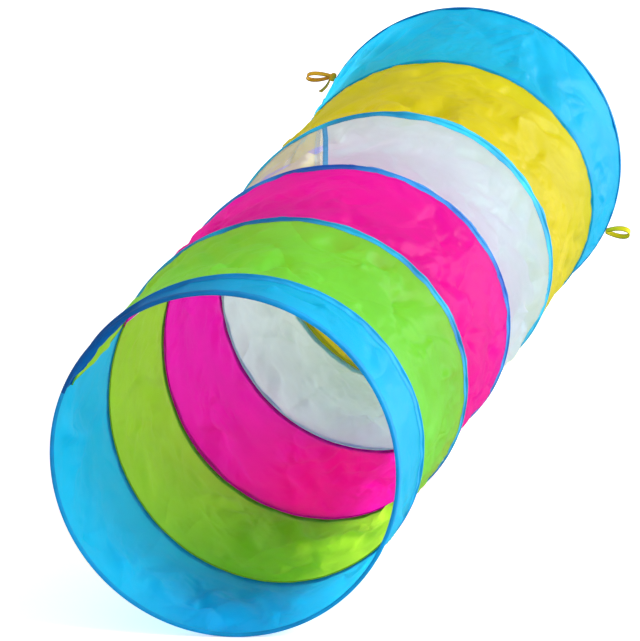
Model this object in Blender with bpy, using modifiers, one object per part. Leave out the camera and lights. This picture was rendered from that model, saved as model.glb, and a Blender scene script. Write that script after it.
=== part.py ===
"""Pop-up play tunnel for children.

One spring-steel coil holds the tube open. Closed hoops end it, and five turns run between them under
a flat blue tape. The cloth is one band of coloured panels wound with the coil, each a turn long, so
every colour begins and ends on a long joint at the left. The tunnel lies along Y on the floor,
front mouth towards -Y, and the frame's origin is on the floor under its middle.
"""

import math

import bmesh
import bpy
from mathutils import Matrix, Vector

# Whole tunnel
TUNNEL_LENGTH = 1.755
TURN_COUNT = 5
END_LEAD = 0.0195
PITCH_SHARES = (0.91, 0.93, 1.035, 1.105, 1.02)
JOINT_ANGLE = math.radians(155)
FACETS = 36

# Hoops and coil
CLOTH_RADIUS = 0.2400
FRONT_FLARE = -0.0025
REAR_FLARE = 0.0151
WIRE_DIAMETER = 0.0024
COIL_FLOOR_CLEARANCE = 0.001

# Cloth and seams
SHEET = 0.0008
GAP = 0.0003
SEAM_GAP = 0.0005
SEAM_ALLOWANCE = 0.0042
BINDING_HALF_WIDTHS = (0.013, 0.013, 0.013, 0.018, 0.013)
BINDING_HEM_CLEARANCE = 0.002
RIDGE_FOOT = 0.0030
WAIST_DEPTH = 0.0045
WAIST_ROWS = 4
END_BLEND = 0.3

# Hems
HEM_WIDTH = 0.012
HEM_TUCK = 0.0062
HEM_MOUTH_LEAD = 0.0006

# Crimped sleeves that join the ends of a hoop's wire
FERRULE_WALL = 0.0004
FERRULE_SPAN = math.radians(6)

# Mesh window
WINDOW_FRONT_SPAN = math.radians(65)
WINDOW_BACK_SPAN = math.radians(45)
WINDOW_BINDING_WIDTH = 0.012
WINDOW_BINDING_CLEARANCE = 0.0015
WINDOW_LEANING_COLUMNS = 2

# Ribbons on the rear hoop
RIBBON_WIDTH = 0.010
RIBBON_THICKNESS = 0.0009
RIBBON_STANDOUT = 0.0149
BOW_ANGLE = math.radians(150)
BOW_SHIFT = 0.013
BOW_SETBACK = 0.008
BOW_LOOP_HEIGHT = 0.016
BOW_ROLL = math.radians(-20)
BOW_KNOT_DEPTH = 0.008
BOW_KNOT_HEIGHT = 0.011
BOW_TAIL_LENGTH = 0.027
BOW_TAIL_ANGLE = math.radians(231)
BOW_TAIL_BEND = 0.003
EYE_ANGLE = math.radians(330)
EYE_SHIFT = 0.008
EYE_DIRECTION = math.radians(-6)
EYE_HEIGHT = 0.021
EYE_ROLL = math.radians(-30)
EYE_SETBACK = 0.0095
RIBBON_STEPS = 20
PINCH_ANGLE = math.radians(12)

# Derived sizes of the coil and the hoops
FRONT_HOOP_RADIUS = CLOTH_RADIUS + FRONT_FLARE
REAR_HOOP_RADIUS = CLOTH_RADIUS + REAR_FLARE
RIBBON_REACH = REAR_HOOP_RADIUS + RIBBON_STANDOUT
RIBBON_PINCH = RIBBON_THICKNESS / 2 + GAP
STEP_ANGLE = 2 * math.pi / FACETS
HALF_STEP = STEP_ANGLE / 2
WIRE_RADIUS = WIRE_DIAMETER / 2
MEAN_PITCH = (TUNNEL_LENGTH - 2 * END_LEAD) / TURN_COUNT
END_SLIT_ANGLE = SEAM_GAP / 2 / CLOTH_RADIUS
WINDOW_SLIT = END_SLIT_ANGLE / (2 * math.pi)
WINDOW_FRONT_COLUMNS = WINDOW_FRONT_SPAN / STEP_ANGLE
WINDOW_BACK_COLUMNS = WINDOW_BACK_SPAN / STEP_ANGLE
HALF_BINDING_COLUMNS = WINDOW_BINDING_WIDTH / 2 / (CLOTH_RADIUS * STEP_ANGLE)
LAST_MESH_CORNER = math.floor(WINDOW_BACK_COLUMNS - HALF_BINDING_COLUMNS)
FIRST_WHITE_CORNER = math.ceil(WINDOW_FRONT_COLUMNS + HALF_BINDING_COLUMNS)
MESH_COLUMNS = LAST_MESH_CORNER + WINDOW_LEANING_COLUMNS + 1
WHITE_COLUMNS = FACETS - FIRST_WHITE_CORNER + WINDOW_LEANING_COLUMNS + 1

# Derived sizes of the seam, as offsets from the cloth's middle surface
FLANGE_OFFSET = (SEAM_GAP + SHEET) / 2
BINDING_LIFT = SHEET + GAP
WIRE_HEIGHT = SHEET / 2 + GAP + WIRE_RADIUS
RIDGE_OFFSET = WIRE_RADIUS + GAP + SHEET / 2
RIDGE_CROWN_SHARE = 0.56
RIDGE_TOP = WIRE_HEIGHT + RIDGE_OFFSET + SHEET / 2

# Derived sizes of a hem, as offsets from its hoop's wire
HEM_CORNERS = 8
HEM_BEAD = (WIRE_RADIUS + GAP + FERRULE_WALL + GAP + SHEET / 2) / math.cos(math.pi / HEM_CORNERS)
HEM_OUTER = HEM_BEAD + SHEET / 2 / math.cos(math.pi / HEM_CORNERS)
TUCK_OFFSET = HEM_BEAD - SHEET - GAP
INNER_LEG_OFFSET = TUCK_OFFSET - SHEET - GAP

# Heights of the ring centres over the floor
FRONT_CENTRE = (FRONT_HOOP_RADIUS + HEM_BEAD) * math.cos(HALF_STEP) + SHEET / 2
REAR_CENTRE = (REAR_HOOP_RADIUS + HEM_BEAD) * math.cos(HALF_STEP) + SHEET / 2
COIL_CENTRE = (CLOTH_RADIUS + RIDGE_TOP) * math.cos(HALF_STEP) + COIL_FLOOR_CLEARANCE

PARTS = "kids_play_tunnel"

# Name: base colour, roughness, metallic
MATERIALS = {
    "blue_cloth": ((0.03, 0.45, 0.85, 1), 0.62, 0.0),
    "green_cloth": ((0.28, 0.62, 0.06, 1), 0.62, 0.0),
    "pink_cloth": ((0.85, 0.02, 0.28, 1), 0.62, 0.0),
    "white_cloth": ((0.80, 0.84, 0.88, 1), 0.60, 0.0),
    "yellow_cloth": ((0.80, 0.66, 0.02, 1), 0.62, 0.0),
    "window_mesh": ((0.72, 0.72, 0.86, 1), 0.75, 0.0),
    "blue_binding": ((0.02, 0.36, 0.78, 1), 0.70, 0.0),
    "yellow_ribbon": ((0.75, 0.56, 0.03, 1), 0.50, 0.0),
    "spring_steel": ((0.55, 0.56, 0.58, 1), 0.32, 1.0),
    "zinc_sleeve": ((0.62, 0.63, 0.64, 1), 0.45, 1.0),
}


def clear_scene():
    """Takes out whatever the file holds."""
    for thing in list(bpy.data.objects):
        bpy.data.objects.remove(thing, do_unlink=True)


def make_materials():
    """One Principled material for each finish."""
    made = {}
    for name, (colour, roughness, metallic) in MATERIALS.items():
        material = bpy.data.materials.new(name)
        material.use_nodes = True
        shader = material.node_tree.nodes["Principled BSDF"]
        shader.inputs["Base Color"].default_value = colour
        shader.inputs["Roughness"].default_value = roughness
        shader.inputs["Metallic"].default_value = metallic
        material.diffuse_color = colour
        made[name] = material
    return made


def make_carrier(name, station, centre):
    """An empty on the tunnel's axis, which carries the pieces that travel together when it folds."""
    carrier = bpy.data.objects.new(name, None)
    bpy.data.collections[PARTS].objects.link(carrier)
    carrier.location = (0, station - TUNNEL_LENGTH / 2, centre)
    carrier.empty_display_size = CLOTH_RADIUS / 10
    return carrier


def add_part(name, data, finish, carrier):
    """Links one piece, drawn in the tunnel's frame, into the parts collection and to its carrier."""
    part = bpy.data.objects.new(name, data)
    bpy.data.collections[PARTS].objects.link(part)
    part.parent = carrier
    part.matrix_parent_inverse = Matrix.Translation(-carrier.location)
    data.materials.append(bpy.data.materials[finish])
    return part


def mix(start, end, share):
    """The value a share of the way from start to end."""
    return start + (end - start) * share


def knot(turn):
    """Distance from the front plane at which the coil has made this many turns."""
    return END_LEAD + MEAN_PITCH * sum(PITCH_SHARES[:turn])


def coil_station(turn, share):
    """Distance from the front plane of a point a share of the way round a turn, counted from 1."""
    return mix(knot(turn - 1), knot(turn), share)


def turn_angle(share):
    """Angle round the axis: the coil leaves the joint over the top and comes back from below."""
    return JOINT_ANGLE - END_SLIT_ANGLE - share * (2 * math.pi - 2 * END_SLIT_ANGLE)


def coil_ring(turn, share):
    """Radius and centre height of the cloth under a turn: the first and last leave their hoops."""
    hoop_radius, hoop_centre, past = CLOTH_RADIUS, COIL_CENTRE, 1
    if turn == 1:
        hoop_radius, hoop_centre, past = FRONT_HOOP_RADIUS + TUCK_OFFSET, FRONT_CENTRE, share
    if turn == TURN_COUNT:
        hoop_radius, hoop_centre, past = REAR_HOOP_RADIUS + TUCK_OFFSET, REAR_CENTRE, 1 - share
    away = min(1, past / END_BLEND)
    away = away * away * (3 - 2 * away)
    return mix(hoop_radius, CLOTH_RADIUS, away), mix(hoop_centre, COIL_CENTRE, away)


def facet_radius(radius, angle):
    """Radius at an angle of the regular outline whose corners lie at a radius."""
    past_corner = (angle - HALF_STEP) % STEP_ANGLE
    return radius * math.cos(HALF_STEP) / math.cos(past_corner - HALF_STEP)


def place(station, angle, radius, centre):
    """A point of the tunnel, from its distance behind the front plane and its place round a ring."""
    reach = facet_radius(radius, angle)
    return Vector((reach * math.cos(angle), station - TUNNEL_LENGTH / 2, centre + reach * math.sin(angle)))


def sheet_part(name, finish, carrier, columns, rows, point_at, thickness=SHEET):
    """A thin piece: a flat grid laid on point_at(column, row), then given its thickness."""
    grid = bmesh.new()
    bmesh.ops.create_grid(grid, x_segments=columns, y_segments=rows, size=0.5)
    for vertex in grid.verts:
        column = round((vertex.co.x + 0.5) * columns)
        row = round((vertex.co.y + 0.5) * rows)
        vertex.co = point_at(column, row)
    mesh = bpy.data.meshes.new(name)
    grid.to_mesh(mesh)
    grid.free()
    part = add_part(name, mesh, finish, carrier)
    solid = part.modifiers.new("Thickness", "SOLIDIFY")
    solid.thickness = thickness
    solid.offset = 0
    solid.use_even_offset = True
    mesh.shade_smooth()
    mesh.set_sharp_from_angle(angle=math.radians(35))
    return part


def wire_part(name, finish, carrier, points, radius, caps=True):
    """A round wire through points."""
    curve = bpy.data.curves.new(name, "CURVE")
    curve.dimensions = "3D"
    curve.bevel_depth = radius
    curve.bevel_resolution = 1
    curve.use_fill_caps = caps
    spline = curve.splines.new("POLY")
    spline.points.add(len(points) - 1)
    for control, point in zip(spline.points, points):
        control.co = (*point, 1)
    return add_part(name, curve, finish, carrier)


def as_mesh(part):
    """The same piece as a mesh, for modifiers that a curve can't take."""
    evaluated = part.evaluated_get(bpy.context.evaluated_depsgraph_get())
    mesh = bpy.data.meshes.new_from_object(evaluated)
    name, finish, carrier = part.name, mesh.materials[0].name, part.parent
    mesh.materials.clear()
    bpy.data.objects.remove(part, do_unlink=True)
    return add_part(name, mesh, finish, carrier)


# Hoops and their hems


def hoop_points(station, radius, centre):
    """Corners of a hoop's wire, from one end to the other, which meet at the long joint."""
    return [place(station, turn_angle(i / FACETS), radius, centre) for i in range(FACETS + 1)]


def ferrule_points(station, radius, centre):
    """Three points of the hoop's outline, on both sides of the place where its ends meet."""
    angles = (JOINT_ANGLE - FERRULE_SPAN / 2, JOINT_ANGLE, JOINT_ANGLE + FERRULE_SPAN / 2)
    return [place(station, angle, radius, centre) for angle in angles]


def hoop(end, carrier, station, radius, centre):
    """The hoop's wire and the crimped sleeve that joins its ends."""
    wire = hoop_points(station, radius, centre)
    wire_part(f"{end}_hoop_wire", "spring_steel", carrier, wire, WIRE_RADIUS)
    middle_of_wall = WIRE_RADIUS + GAP + FERRULE_WALL / 2
    crimped = ferrule_points(station, radius, centre)
    sleeve = wire_part(f"{end}_hoop_ferrule", "zinc_sleeve", carrier, crimped, middle_of_wall, caps=False)
    sleeve = as_mesh(sleeve)
    wall = sleeve.modifiers.new("Wall", "SOLIDIFY")
    wall.thickness = FERRULE_WALL
    wall.offset = 0


def hem(end, carrier, mouth_side, radius, centre):
    """The folded hem round a hoop's wire: a profile of the fold, turned about the tunnel's axis."""
    bead_centre = HEM_OUTER
    fold = [(HEM_WIDTH, HEM_BEAD)]
    for corner in range(5):
        turned = math.pi / 2 + corner * 2 * math.pi / HEM_CORNERS
        fold.append((bead_centre + HEM_BEAD * math.cos(turned), HEM_BEAD * math.sin(turned)))
    fold.append((HEM_WIDTH, INNER_LEG_OFFSET))
    profile = bmesh.new()
    plane = -mouth_side * TUNNEL_LENGTH / 2
    corners = [profile.verts.new((radius + out, plane + mouth_side * deep, 0)) for deep, out in fold]
    for first, second in zip(corners, corners[1:]):
        profile.edges.new((first, second))
    mesh = bpy.data.meshes.new(f"{end}_hem")
    profile.to_mesh(mesh)
    profile.free()
    part = add_part(f"{end}_hem", mesh, "blue_cloth", carrier)
    part.location = (0, 0, centre)
    part.rotation_euler = (0, HALF_STEP, 0)
    turned = part.modifiers.new("Turn", "SCREW")
    turned.axis = "Y"
    turned.angle = 2 * math.pi
    turned.steps = FACETS
    turned.render_steps = FACETS
    turned.use_merge_vertices = True
    turned.merge_threshold = 0.00005
    turned.use_smooth_shade = True
    fold_wall = part.modifiers.new("Thickness", "SOLIDIFY")
    fold_wall.thickness = SHEET
    fold_wall.offset = 0
    fold_wall.use_even_offset = True


# Coil turns


def coil_turn(turn, carrier):
    """One turn of the coil's wire."""
    points = []
    for i in range(FACETS + 1):
        share = i / FACETS
        radius, centre = coil_ring(turn, share)
        points.append(place(coil_station(turn, share), turn_angle(share), radius + WIRE_HEIGHT, centre))
    wire_part(f"turn_{turn}_wire", "spring_steel", carrier, points, WIRE_RADIUS)


# Cloth panels


def seam_edge(turn, side, share):
    """Rows at a coil seam, the allowance turned inward last: distance from the front, radius, centre."""
    station = coil_station(turn, share) + side * FLANGE_OFFSET
    radius, centre = coil_ring(turn, share)
    return [(station, radius, centre), (station, radius - SEAM_ALLOWANCE, centre)]


def hem_edge(rear):
    """Rows at a hem, the edge tucked into its fold last."""
    hoop_radius = REAR_HOOP_RADIUS if rear else FRONT_HOOP_RADIUS
    centre = REAR_CENTRE if rear else FRONT_CENTRE
    radius = hoop_radius + TUCK_OFFSET
    rows = [(HEM_WIDTH + HEM_MOUTH_LEAD, radius, centre), (HEM_TUCK, radius, centre)]
    if rear:
        rows = [(TUNNEL_LENGTH - deep, radius, centre) for deep, radius, centre in rows]
    return rows


def band_edges(band, share):
    """The rows of one band's front edge and of its back edge, at a share of its turn."""
    front = hem_edge(False) if band == 0 else seam_edge(band, 1, share)
    back = hem_edge(True) if band == TURN_COUNT else seam_edge(band + 1, -1, share)
    return front, back


def waist(across):
    """How far in a band is drawn, as a share of its middle: straight between the rows of its panel."""
    row = min(WAIST_ROWS - 1, math.floor(across * WAIST_ROWS))
    before, after = row / WAIST_ROWS, (row + 1) / WAIST_ROWS
    return mix(4 * before * (1 - before), 4 * after * (1 - after), across * WAIST_ROWS - row)


def on_band(band, share, across):
    """Distance from the front, radius and centre height of a band's cloth, a share of its way back."""
    front, back = band_edges(band, share)
    (start, start_radius, start_centre), (end, end_radius, end_centre) = front[0], back[0]
    drawn_in = WAIST_DEPTH * min(1, (end - start) / MEAN_PITCH) * waist(across)
    radius = mix(start_radius, end_radius, across) - drawn_in
    return mix(start, end, across), radius, mix(start_centre, end_centre, across)


def cloth_panel(name, finish, carrier, band, columns, share_at):
    """A panel of one band, whose columns lie at share_at(column, share across)."""

    def on_cloth(column, row):
        across = min(1, max(0, (row - 1) / WAIST_ROWS))
        share = share_at(column, across)
        front, back = band_edges(band, share)
        station, radius, centre = on_band(band, share, across)
        if row == 0:
            station, radius, centre = front[1]
        if row == WAIST_ROWS + 2:
            station, radius, centre = back[1]
        return place(station, turn_angle(share), radius, centre)

    sheet_part(name, finish, carrier, columns, WAIST_ROWS + 2, on_cloth)


def full_turn(column, _across):
    """Columns of a panel that goes all the way round."""
    return column / FACETS


def window_line(across):
    """Share of the turn at which the window ends: square to the seams, so it leans as it goes back."""
    return mix(WINDOW_FRONT_COLUMNS, WINDOW_BACK_COLUMNS, across) / FACETS


def window_columns(column, across):
    """Columns of the mesh: on the facets' corners, then leaning, the last one under the binding."""
    line = window_line(across)
    if column <= LAST_MESH_CORNER:
        return column / FACETS
    if column == MESH_COLUMNS:
        return line - WINDOW_SLIT
    leaning = (column - LAST_MESH_CORNER) / WINDOW_LEANING_COLUMNS
    return mix(LAST_MESH_CORNER / FACETS, line - HALF_BINDING_COLUMNS / FACETS, leaning)


def white_columns(column, across):
    """Columns of the white cloth: the first one under the binding, leaning, then on the corners."""
    line = window_line(across)
    if column == 0:
        return line + WINDOW_SLIT
    past = column - 1 - WINDOW_LEANING_COLUMNS
    if past >= 0:
        return (FIRST_WHITE_CORNER + past) / FACETS
    leaning = (column - 1) / WINDOW_LEANING_COLUMNS
    return mix(line + HALF_BINDING_COLUMNS / FACETS, FIRST_WHITE_CORNER / FACETS, leaning)


def window_binding(band, carrier):
    """The flat tape laid over the joint between the mesh window and the white cloth."""
    front_inset = BINDING_HALF_WIDTHS[band - 1] + WINDOW_BINDING_CLEARANCE
    back_inset = BINDING_HALF_WIDTHS[band] + WINDOW_BINDING_CLEARANCE

    def on_tape(column, row):
        across = row / WAIST_ROWS
        share = window_line(across) + (column - 1) * HALF_BINDING_COLUMNS / FACETS
        front, back = band_edges(band, share)
        width = back[0][0] - front[0][0]
        across = min(1 - back_inset / width, max(front_inset / width, across))
        share = window_line(across) + (column - 1) * HALF_BINDING_COLUMNS / FACETS
        station, radius, centre = on_band(band, share, across)
        return place(station, turn_angle(share), radius + BINDING_LIFT, centre)

    sheet_part("window_binding", "blue_binding", carrier, 2, WAIST_ROWS, on_tape)


def wing_width(turn, side, share):
    """Width of the tape on one side of a turn: narrower where the turn leaves a hem."""
    station = coil_station(turn, share)
    to_hem = station - HEM_WIDTH if side < 0 else TUNNEL_LENGTH - HEM_WIDTH - station
    return min(BINDING_HALF_WIDTHS[turn - 1], to_hem - BINDING_HEM_CLEARANCE)


def wing_edge(turn, side, share):
    """Edge of the tape on the band in front of a turn or behind it."""
    band = turn if side > 0 else turn - 1
    front, back = band_edges(band, share)
    in_band = (wing_width(turn, side, share) - FLANGE_OFFSET) / (back[0][0] - front[0][0])
    station, radius, centre = on_band(band, share, in_band if side > 0 else 1 - in_band)
    return place(station, turn_angle(share), radius + BINDING_LIFT, centre)


def binding(turn, carrier):
    """The flat tape laid over the seam of one turn, raised in the middle over its wire."""
    crown = RIDGE_CROWN_SHARE * RIDGE_OFFSET
    ridge = (
        (-RIDGE_FOOT, BINDING_LIFT),
        (-crown, WIRE_HEIGHT + RIDGE_OFFSET),
        (crown, WIRE_HEIGHT + RIDGE_OFFSET),
        (RIDGE_FOOT, BINDING_LIFT),
    )

    def on_binding(column, row):
        share = column / FACETS
        if row == 0:
            return wing_edge(turn, -1, share)
        if row > len(ridge):
            return wing_edge(turn, 1, share)
        aside, height = ridge[row - 1]
        radius, centre = coil_ring(turn, share)
        return place(coil_station(turn, share) + aside, turn_angle(share), radius + height, centre)

    sheet_part(f"turn_{turn}_binding", "blue_binding", carrier, FACETS, len(ridge) + 1, on_binding)


def cloth_band(carriers):
    """The six colours in order from the front, each with the turn at its front edge."""
    colours = ("blue", "green", "pink", "white", "yellow", "blue")
    names = ("front_blue_panel", "green_panel", "pink_panel", "white_panel", "yellow_panel", "rear_blue_panel")
    for band, (colour, name) in enumerate(zip(colours, names)):
        carrier = carriers[band]
        if colour == "white":
            cloth_panel("window_panel", "window_mesh", carrier, band, MESH_COLUMNS, window_columns)
            cloth_panel(name, "white_cloth", carrier, band, WHITE_COLUMNS, white_columns)
            window_binding(band, carrier)
        else:
            cloth_panel(name, f"{colour}_cloth", carrier, band, FACETS, full_turn)


# Ribbons


def teardrop(share, length, height):
    """Outline of a drooping ribbon loop, from its pinched end round the tip and back again."""
    turned = mix(PINCH_ANGLE, 2 * math.pi - PINCH_ANGLE, share)
    along = length * (1 - math.cos(turned)) / 2
    across = height / 2 * math.sin(turned) * math.sin(turned / 2) + RIBBON_PINCH * math.cos(turned / 2)
    return along, across


def ribbon_part(name, carrier, steps, line_at, axes, origin, roll=0.0, seat_slope=0.0, length=1.0):
    """A flat ribbon whose middle line is line_at(share), in the plane of two axes through origin."""
    along_axis, across_axis = axes

    def on_ribbon(column, row):
        ahead, aside = line_at(column / steps)
        sideways = mix(-RIBBON_WIDTH / 2, RIBBON_WIDTH / 2, row)
        across = aside * math.cos(roll) - sideways * math.sin(roll)
        back = aside * math.sin(roll) + sideways * math.cos(roll)
        ahead += across * seat_slope * max(0, 1 - ahead / length)
        return origin + along_axis * ahead + across_axis * across + Vector((0, back, 0))

    sheet_part(name, "yellow_ribbon", carrier, steps, 1, on_ribbon, RIBBON_THICKNESS)


def rear_hem_face(angle, shift, station):
    """A point on the hem's flat outer face, a shift above its middle, and the direction that it faces."""
    outward = Vector((math.cos(angle), 0, math.sin(angle)))
    upward = Vector((-outward.z, 0, outward.x))
    if upward.z < 0:
        upward = -upward
    return Vector((0, station, REAR_CENTRE)) + outward * REAR_CENTRE + upward * shift, outward


def bow(carrier):
    """The tie at the left: a knot on the hem, one loop and one tail."""
    seat, outward = rear_hem_face(BOW_ANGLE, BOW_SHIFT, TUNNEL_LENGTH / 2 - BOW_SETBACK)
    knot_mesh = bmesh.new()
    bmesh.ops.create_cube(knot_mesh, size=1)
    for vertex in knot_mesh.verts:
        vertex.co.x *= BOW_KNOT_DEPTH
        vertex.co.y *= RIBBON_WIDTH
        vertex.co.z *= BOW_KNOT_HEIGHT
    mesh = bpy.data.meshes.new("bow_knot")
    knot_mesh.to_mesh(mesh)
    knot_mesh.free()
    wrapped = add_part("bow_knot", mesh, "yellow_ribbon", carrier)
    wrapped.location = seat + outward * (GAP + BOW_KNOT_DEPTH / 2)
    wrapped.rotation_euler = (0, -BOW_ANGLE, 0)
    rounded = wrapped.modifiers.new("Rounded edges", "BEVEL")
    rounded.width = BOW_KNOT_DEPTH / 5
    rounded.segments = 2
    knot_face = seat + outward * (GAP + BOW_KNOT_DEPTH)

    left = Vector((-1, 0, 0))
    up = Vector((0, 0, 1))
    slope = math.tan(math.pi - BOW_ANGLE)
    loop_seat = knot_face + left * (GAP + RIBBON_THICKNESS / 2)
    loop_length = RIBBON_REACH - RIBBON_THICKNESS / 2 + loop_seat.x
    ribbon_part(
        "bow_loop",
        carrier,
        RIBBON_STEPS,
        lambda share: teardrop(share, loop_length, BOW_LOOP_HEIGHT),
        (left, up),
        loop_seat,
        roll=BOW_ROLL,
        seat_slope=-slope,
        length=loop_length,
    )

    down_left = Vector((math.cos(BOW_TAIL_ANGLE), 0, math.sin(BOW_TAIL_ANGLE)))
    aside = Vector((-down_left.z, 0, down_left.x))
    around = Vector((-outward.z, 0, outward.x))
    leaning_edge = RIBBON_THICKNESS / 2 * abs(down_left.cross(around).y)
    tail_seat = knot_face - outward * (BOW_KNOT_DEPTH / 2)
    tail_seat += around * (BOW_KNOT_HEIGHT / 2 + GAP + leaning_edge)
    ribbon_part(
        "bow_tail",
        carrier,
        RIBBON_STEPS // 4,
        lambda share: (BOW_TAIL_LENGTH * share, BOW_TAIL_BEND * math.sin(math.pi * share)),
        (down_left, aside),
        tail_seat,
    )


def ribbon_eye(carrier):
    """The closed loop at the right that the tie is threaded through when the tunnel is packed flat."""
    seat, _outward = rear_hem_face(EYE_ANGLE, EYE_SHIFT, TUNNEL_LENGTH / 2 - EYE_SETBACK)
    ahead = Vector((math.cos(EYE_DIRECTION), 0, math.sin(EYE_DIRECTION)))
    aside = Vector((-ahead.z, 0, ahead.x))
    slope = -math.tan(EYE_ANGLE - EYE_DIRECTION)
    origin = seat + ahead * GAP
    rolled_edge = RIBBON_WIDTH / 2 * abs(math.sin(EYE_ROLL)) * aside.x
    length = (RIBBON_REACH - RIBBON_THICKNESS / 2 - rolled_edge - origin.x) / ahead.x
    ribbon_part(
        "ribbon_eye",
        carrier,
        RIBBON_STEPS,
        lambda share: teardrop(share, length, EYE_HEIGHT),
        (ahead, aside),
        origin,
        roll=EYE_ROLL,
        seat_slope=slope,
        length=length,
    )


def build():
    clear_scene()
    collection = bpy.data.collections.new(PARTS)
    bpy.context.scene.collection.children.link(collection)
    make_materials()
    rear_station = TUNNEL_LENGTH - HEM_OUTER
    front_end = make_carrier("front_end", HEM_OUTER, FRONT_CENTRE)
    rear_end = make_carrier("rear_end", rear_station, REAR_CENTRE)
    turns = [make_carrier(f"turn_{i}", coil_station(i, 0.5), COIL_CENTRE) for i in range(1, TURN_COUNT + 1)]
    hoop("front", front_end, HEM_OUTER, FRONT_HOOP_RADIUS, FRONT_CENTRE)
    hem("front", front_end, 1, FRONT_HOOP_RADIUS, FRONT_CENTRE)
    hoop("rear", rear_end, rear_station, REAR_HOOP_RADIUS, REAR_CENTRE)
    hem("rear", rear_end, -1, REAR_HOOP_RADIUS, REAR_CENTRE)
    for turn, carrier in enumerate(turns, start=1):
        coil_turn(turn, carrier)
        binding(turn, carrier)
    cloth_band([front_end, *turns])
    bow(rear_end)
    ribbon_eye(rear_end)


build()
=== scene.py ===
"""Dresses the pop-up play tunnel: gathered cloth bands, taped seams, hems, mesh window, ribbons."""

import math

import bpy
import numpy as np
from mathutils import Matrix, Vector


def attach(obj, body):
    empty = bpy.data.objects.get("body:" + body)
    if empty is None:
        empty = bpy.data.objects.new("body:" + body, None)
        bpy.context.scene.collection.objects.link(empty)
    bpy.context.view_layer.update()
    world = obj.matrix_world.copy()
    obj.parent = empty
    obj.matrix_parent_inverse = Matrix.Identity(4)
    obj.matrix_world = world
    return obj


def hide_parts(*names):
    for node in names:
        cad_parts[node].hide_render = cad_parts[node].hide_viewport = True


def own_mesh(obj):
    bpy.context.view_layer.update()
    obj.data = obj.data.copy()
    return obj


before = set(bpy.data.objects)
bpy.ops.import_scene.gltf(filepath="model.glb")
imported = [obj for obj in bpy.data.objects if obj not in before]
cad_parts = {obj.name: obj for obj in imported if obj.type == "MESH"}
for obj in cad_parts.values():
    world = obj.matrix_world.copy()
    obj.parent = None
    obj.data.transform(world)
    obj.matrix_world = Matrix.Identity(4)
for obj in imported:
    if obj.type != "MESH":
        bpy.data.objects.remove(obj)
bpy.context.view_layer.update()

# The tunnel's sizes as the CAD model has them: metres, radians and shares of a turn or pitch
TUNNEL_LENGTH = 1.755
TURN_COUNT = 5
END_LEAD = 0.0195
PITCH_SHARES = (0.91, 0.93, 1.035, 1.105, 1.02)
JOINT_ANGLE = math.radians(155)
MEAN_PITCH = (TUNNEL_LENGTH - 2 * END_LEAD) / TURN_COUNT
CLOTH_RADIUS = 0.2400
FRONT_HOOP_RADIUS = 0.2375
REAR_HOOP_RADIUS = 0.2551
HEM_WIDTH = 0.012
HEM_BEAD = 0.0028
HEM_TUCK = 0.0064
TUCK_OFFSET = 0.0017
WIRE_HEIGHT = 0.0015
WIRE_RADIUS = 0.0012
END_BLEND = 0.3

# Heights of the ring centres: a round ring that touches the floor at the bottom
FRONT_CENTRE = 0.2403
REAR_CENTRE = 0.2579
COIL_CENTRE = 0.2448

# Tapes over the turns: half width of each; top, foot and rounding of the ridge over the wire; lift
# off the cloth; room left beside a hem
TAPE_HALF_WIDTHS = (0.013, 0.013, 0.013, 0.018, 0.013)
RIDGE_TOP = 0.0032
RIDGE_FOOT = 0.0034
RIDGE_ROUND = 0.0021
TAPE_LIFT = 0.0009
HEM_CLEARANCE = 0.002
# Half width of the outer tapes where they run out at a hem, what they lose on their inner side,
# and the share that is left of a tape where it narrows at the long joint
TAPE_TIP = 0.0045
INNER_TRIM = 0.0080
NARROWED = 0.45

# Seams: cloth turned in behind each one, and how far a turn sways forward low on the left
ALLOWANCE = 0.0030
SWAYS = (0.004, 0.020, 0.005, 0.018, 0.0)
# Where the photo shows a turn off the even spiral: metres back, rise and fall, as hump takes them
SEAM_SHIFTS = {
    1: ((0.024, None, (0.020, 0.075)), (0.012, (0, 0.02), (0.026, 0.066))),
    4: ((-0.008, (0, 0.03), (0.06, 0.12)), (0.035, (0.84, 1), None)),
    5: (
        (0.006, (0, 0.03), (0.97, 1)),
        (0.012, (0, 0.03), (0.10, 0.22)),
        (0.035, None, (0.025, 0.095)),
        (0.016, (0.30, 0.42), (0.48, 0.62)),
    ),
}

# Mesh window: its sewn edge, as shares of a turn at the band's front and back, and the tape on it
WINDOW_FRONT = 64.4 / 360
WINDOW_BACK = 45.7 / 360
WINDOW_LEAN = WINDOW_BACK - WINDOW_FRONT
WINDOW_TAPE_HALF = 0.0040
WINDOW_TAPE_SPAN = (0.030, 0.955)
WINDOW_TAPE_LIFT = 0.0004
WINDOW_TAPE_CROWN = 0.0003

# Cloth: how far a band hangs in between its seams, the size of its faces, half of a seam's gap
WAIST_DEPTH = 0.0045
CELL = 0.0034
SEAM_HALF = 0.0006
# Bands that hang in by more or less than that near the long joint: the share, rise and fall
SAGS = {3: (0.9, (0, 0.03), (0.18, 0.26)), 4: (-0.6, None, (0.04, 0.14))}
# The slack fold at the mouth's top left, and the dip of turn 1's start beside it
SLACK_FOLD = (0.0115, (0, 0.045), (0.06, 0.115))
START_DIP = (0.36 * WAIST_DEPTH, None, (0, 0.035))

# Uneven handwork round the tunnel: height, length and seed of its waves, as waver takes them. The
# heights are metres, and for the allowance shares of what is turned in
SEAM_WAVES = ((0.0020, 0.13, 40), (0.0011, 0.030, 50))
TAPE_WAVES = ((0.0014, 0.09, 600), (0.0007, 0.022, 605))
RIDGE_WAVES = ((0.0007, 0.06, 700), (0.0004, 0.018, 710))
ALLOWANCE_WAVES = ((0.45, 0.011, 80), (0.25, 0.03, 81))

CLOTH_ROUND = 2 * math.pi * CLOTH_RADIUS


def smoothstep(values, low, high):
    """0 under low, 1 over high, and a smooth rise between."""
    share = np.clip((np.asarray(values, float) - low) / (high - low), 0, 1)
    return share * share * (3 - 2 * share)


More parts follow.
